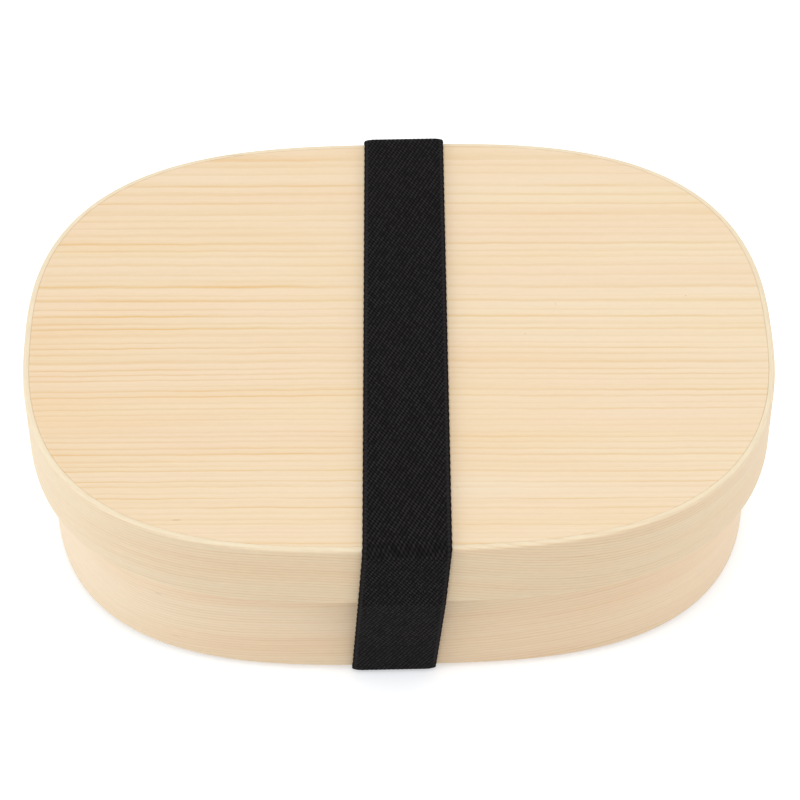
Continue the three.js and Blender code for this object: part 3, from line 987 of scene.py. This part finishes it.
def thread(name):
    """Black sewing thread: two plies, twisted."""
    g = Graph(name)
    parts = g.axes("grain")
    x, y, z = parts
    twist = g.math("SINE", g.math("MULTIPLY", g.math("ADD", x, g.math("ADD", y, z)), 12.0))
    fuzz = g.noise(parts, (0.12, 0.12, 0.12), detail=2)
    g.bump(g.math("ADD", twist, fuzz), 0.05 * MM)
    colour = g.ramp(g.span(twist, -1, 1), (0.0, srgb(18, 17, 18)), (1.0, srgb(58, 56, 58)))
    g.set(Base_Color=colour, Roughness=0.6)
    return g.material


# The object

box_levels = hole_levels(
    box_board[1].z + BARK_TAIL_GAP + BARK_TAIL,
    box_strip[1].z - EDGE_ROUND_CAD - BARK_TAIL_GAP - BARK_TAIL,
    stitches=4,
    hop=BARK_HOP,
)
lid_levels = hole_levels(
    lid_strip[0].z + EDGE_ROUND_CAD + BARK_TAIL_GAP + BARK_TAIL,
    lid_board[0].z - LEDGE_GAP - BARK_TAIL_GAP - BARK_TAIL,
    stitches=2,
    hop=BARK_HOP,
)

FRONT_RUN = PERIMETER / 2 - (LAP_MIDDLE - LAP_LENGTH / 2)  # from the lap to the front's middle
BOX_STRIP_GRAIN = (0.9, 0, 0.2)  # where each piece is cut from the wood
BOX_BASE_GRAIN = (0.4, 0.3, 0)
DIVIDER_GRAIN = (1.7, 0.2, 0)
LID_GRAIN = (0, 0, 0)

board_wood = wood(
    "cedar_board",
    rings=dict(pitch=1.85, variety=1.0, crowding=0.0016, wander=1.3, lean=0.0, slope=0.021),
    contrast=1.1,
    hair=0.57,
    boldest=-LENGTH / 2,
    faint=0.84,
    fade=1.0,
    fuzz=0.023,
    early=srgb(249, 226, 194),
    middle=srgb(244, 218, 179),
    late=srgb(239, 201, 141),
    tints=((PEACH, 0.42), (YELLOW, 0.38)),
)
lid_strip_wood = wood(
    "cedar_lid_strip",
    rings=dict(pitch=0.98, variety=0.35, crowding=0.0, wander=0.6, lean=40.0, slope=0.0),
    contrast=0.76,
    hair=0.95,
    boldest=FRONT_RUN,
    faint=0.5,
    fade=0.0,
    fuzz=0.044,
    early=srgb(245, 223, 189),
    middle=srgb(238, 210, 171),
    late=srgb(229, 194, 144),
    tints=((PEACH, 0.48), (YELLOW, 0.12)),
)
# The box strip's wood is paler than the lid strip's: painted light, for the light that the floor
# throws up onto the lower strip.
box_strip_wood = wood(
    "cedar_box_strip",
    rings=dict(pitch=1.0, variety=0.35, crowding=0.0, wander=0.6, lean=30.0, slope=0.0),
    contrast=0.74,
    hair=0.95,
    boldest=FRONT_RUN + BOX_STRIP_GRAIN[0],
    faint=0.55,
    fade=0.0,
    fuzz=0.034,
    early=srgb(250, 226, 194),
    middle=srgb(243, 215, 177),
    late=srgb(234, 202, 152),
    tints=((PEACH, 0.6), (YELLOW, 0.12)),
)
cherry_bark = bark("cherry_bark")
black_elastic = elastic("black_elastic")
black_thread = thread("black_thread")

box_hoop = strip("box_strip_wood", box_side_strip(), BOX_INSET, box_levels, BOX_STRIP_GRAIN)
place("box_strip_wood", box_hoop, box_strip_wood, "box", "box_side_strip", "wood")
box_base = board("box_base_wood", BOX_INSET + RIM + SHADOW_GAP, box_board, BOX_BASE_GRAIN)
place("box_base_wood", box_base, board_wood, "box", "box_base_board", "wood")
box_lacing = bark_lacing("box_lacing_bark", BOX_INSET, box_levels)
place("box_lacing_bark", box_lacing, cherry_bark, "box", "box_bark_lacing", "bark")

lid_hoop = strip("lid_strip_wood", lid_side_strip(), 0, lid_levels, LID_GRAIN)
place("lid_strip_wood", lid_hoop, lid_strip_wood, "lid", "lid_side_strip", "wood")
lid_top = board("lid_top_wood", RIM + SHADOW_GAP, lid_board, LID_GRAIN)
place("lid_top_wood", lid_top, board_wood, "lid", "lid_top_board", "wood")
lid_lacing = bark_lacing("lid_lacing_bark", 0, lid_levels)
place("lid_lacing_bark", lid_lacing, cherry_bark, "lid", "lid_bark_lacing", "bark")

partition = divider_board(DIVIDER_GRAIN)
place("divider_wood", partition, board_wood, "divider", "divider_board", "wood")

band_piece = place("band_cloth", elastic_band(), black_elastic, "band", "elastic_band", "elastic")
stretch_with_lid(band_piece)
for end, y in (("front", OVERLAP_FRONT + SEAM_INSET), ("back", OVERLAP_BACK - SEAM_INSET)):
    name = f"band_stitches_{end}"
    place(name, seam_thread(name, y), black_thread, "band", f"band_seam_thread_{end}", "thread")


# Floor, light and camera


WORLD_LEVEL = 0.4
FLOOR_GLOW = 0.42  # what lifts the floor to white where it is seen
FLOOR_HALF = 3.0
FLOOR_LEVEL = -0.1 * MM
LAMP_DISTANCE = 1.2
COOL_LEFT = (0.765, 0.885, 1.04)
COOL_RIGHT = (0.84, 0.89, 1.0)
WARM = (1.0, 0.9, 0.68)


def floor_material():
    """A matt white that shows white where it is seen or mirrored and still takes a shadow.

    From below it lets the view through. The patch that the box stands on lights its underside."""
    g = Graph("floor_white")
    g.set(Base_Color=(0.86, 0.86, 0.86, 1), Roughness=1.0, Specular_IOR_Level=0.0)
    add, link = g.tree.nodes.new, g.tree.links.new
    path, side = add("ShaderNodeLightPath"), add("ShaderNodeNewGeometry")
    glow, both = add("ShaderNodeEmission"), add("ShaderNodeAddShader")
    clear, last = add("ShaderNodeBsdfTransparent"), add("ShaderNodeMixShader")
    glow.inputs["Strength"].default_value = FLOOR_GLOW
    seen = g.math("MAXIMUM", path.outputs["Is Camera Ray"], path.outputs["Is Glossy Ray"])
    seen = g.math("MAXIMUM", seen, path.outputs["Is Transmission Ray"])
    split = add("ShaderNodeSeparateXYZ")
    link(side.outputs["Position"], split.inputs[0])
    foot = (LENGTH / 2 - BOX_INSET - STRIP, WIDTH / 2 - BOX_INSET - STRIP)
    away = [g.math("POWER", g.math("DIVIDE", split.outputs[k], foot[k]), 2) for k in range(2)]
    under = g.math("LESS_THAN", g.math("ADD", *away), 1)
    seen = g.math("MAXIMUM", seen, g.math("MULTIPLY", under, path.outputs["Is Diffuse Ray"]))
    shown = add("ShaderNodeMixShader")
    link(g.shader.outputs[0], both.inputs[0])
    link(glow.outputs[0], both.inputs[1])
    link(seen, shown.inputs[0])
    link(g.shader.outputs[0], shown.inputs[1])
    link(both.outputs[0], shown.inputs[2])
    below = g.math("MULTIPLY", side.outputs["Backfacing"], path.outputs["Is Camera Ray"])
    link(below, last.inputs[0])
    link(shown.outputs[0], last.inputs[1])
    link(clear.outputs[0], last.inputs[2])
    link(last.outputs[0], g.tree.nodes["Material Output"].inputs["Surface"])
    return g.material


def floor():
    """One large pale square under the box."""
    corners = [
        (x * FLOOR_HALF, y * FLOOR_HALF, FLOOR_LEVEL)
        for x, y in ((-1, -1), (1, -1), (1, 1), (-1, 1))
    ]
    mesh = bpy.data.meshes.new("floor")
    mesh.from_pydata(corners, [], [(0, 1, 2, 3)])
    mesh.materials.append(floor_material())
    piece = bpy.data.objects.new("floor", mesh)
    bpy.context.scene.collection.objects.link(piece)


def world(level):
    """White where it is seen or mirrored, and this level of light on the object."""
    made = bpy.data.worlds.new("studio")
    made.use_nodes = True
    tree = made.node_tree
    add, link = tree.nodes.new, tree.links.new
    path, choose = add("ShaderNodeLightPath"), add("ShaderNodeMix")
    choose.inputs[2].default_value = level
    choose.inputs[3].default_value = 1.0
    seen = path.outputs["Is Camera Ray"]
    for ray in ("Is Glossy Ray", "Is Transmission Ray"):
        either = add("ShaderNodeMath")
        either.operation = "MAXIMUM"
        link(seen, either.inputs[0])
        link(path.outputs[ray], either.inputs[1])
        seen = either.outputs[0]
    link(seen, choose.inputs[0])
    back = tree.nodes["Background"]
    back.inputs["Color"].default_value = (1, 1, 1, 1)
    link(choose.outputs[0], back.inputs["Strength"])
    bpy.context.scene.world = made


def lamp(name, azimuth, elevation, size, power, colour=(1, 1, 1)):
    """A soft square lamp that faces the object."""
    data = bpy.data.lights.new(name, "AREA")
    data.shape, data.size, data.energy, data.color = "SQUARE", size, power, colour
    piece = bpy.data.objects.new(name, data)
    bpy.context.scene.collection.objects.link(piece)
    a, e = math.radians(azimuth), math.radians(elevation)
    way = Vector((math.sin(a) * math.cos(e), -math.cos(a) * math.cos(e), math.sin(e)))
    piece.location = way * LAMP_DISTANCE
    piece.rotation_mode = "QUATERNION"
    piece.rotation_quaternion = way.to_track_quat("Z", "Y")


def camera():
    """The photograph's viewpoint, in degrees, metres and pixels of an 800-pixel frame."""
    distance, elevation, azimuth, roll = 0.79465, 48.20, -0.995, -0.367
    focal_pixels, centre_x, centre_y, pixels = 3227.5, 398.76, 402.52, 800
    target = Vector((0, 0, (box_strip[0].z + lid_strip[1].z) / 2))
    data = bpy.data.cameras.new("photo_camera")
    piece = bpy.data.objects.new("photo_camera", data)
    bpy.context.scene.collection.objects.link(piece)
    data.sensor_width = 36
    data.lens = focal_pixels / pixels * data.sensor_width
    data.shift_x = (pixels / 2 - centre_x) / pixels
    data.shift_y = (centre_y - pixels / 2) / pixels
    a, e, r = math.radians(azimuth), math.radians(elevation), math.radians(roll)
    back = Vector((math.sin(a) * math.cos(e), -math.cos(a) * math.cos(e), math.sin(e)))
    right = Vector((math.cos(a), math.sin(a), 0))
    up = back.cross(right)
    turned = right * math.cos(r) + up * math.sin(r)
    piece.matrix_world = Matrix.LocRotScale(
        target + back * distance,
        Matrix((turned, back.cross(turned), back)).transposed(),
        None,
    )
    bpy.context.scene.camera = piece


floor()
world(WORLD_LEVEL)
lamp("top_lamp", azimuth=0, elevation=88, size=1.0, power=6.0)
lamp("left_lamp", azimuth=-75, elevation=20, size=0.8, power=6.4, colour=COOL_LEFT)
lamp("right_lamp", azimuth=75, elevation=20, size=0.8, power=5.0, colour=COOL_RIGHT)
lamp("front_lamp", azimuth=-20, elevation=6, size=0.6, power=1.5, colour=WARM)
lamp("back_lamp", azimuth=180, elevation=25, size=0.8, power=1.3)
camera()

bpy.context.scene.view_settings.view_transform = "Standard"
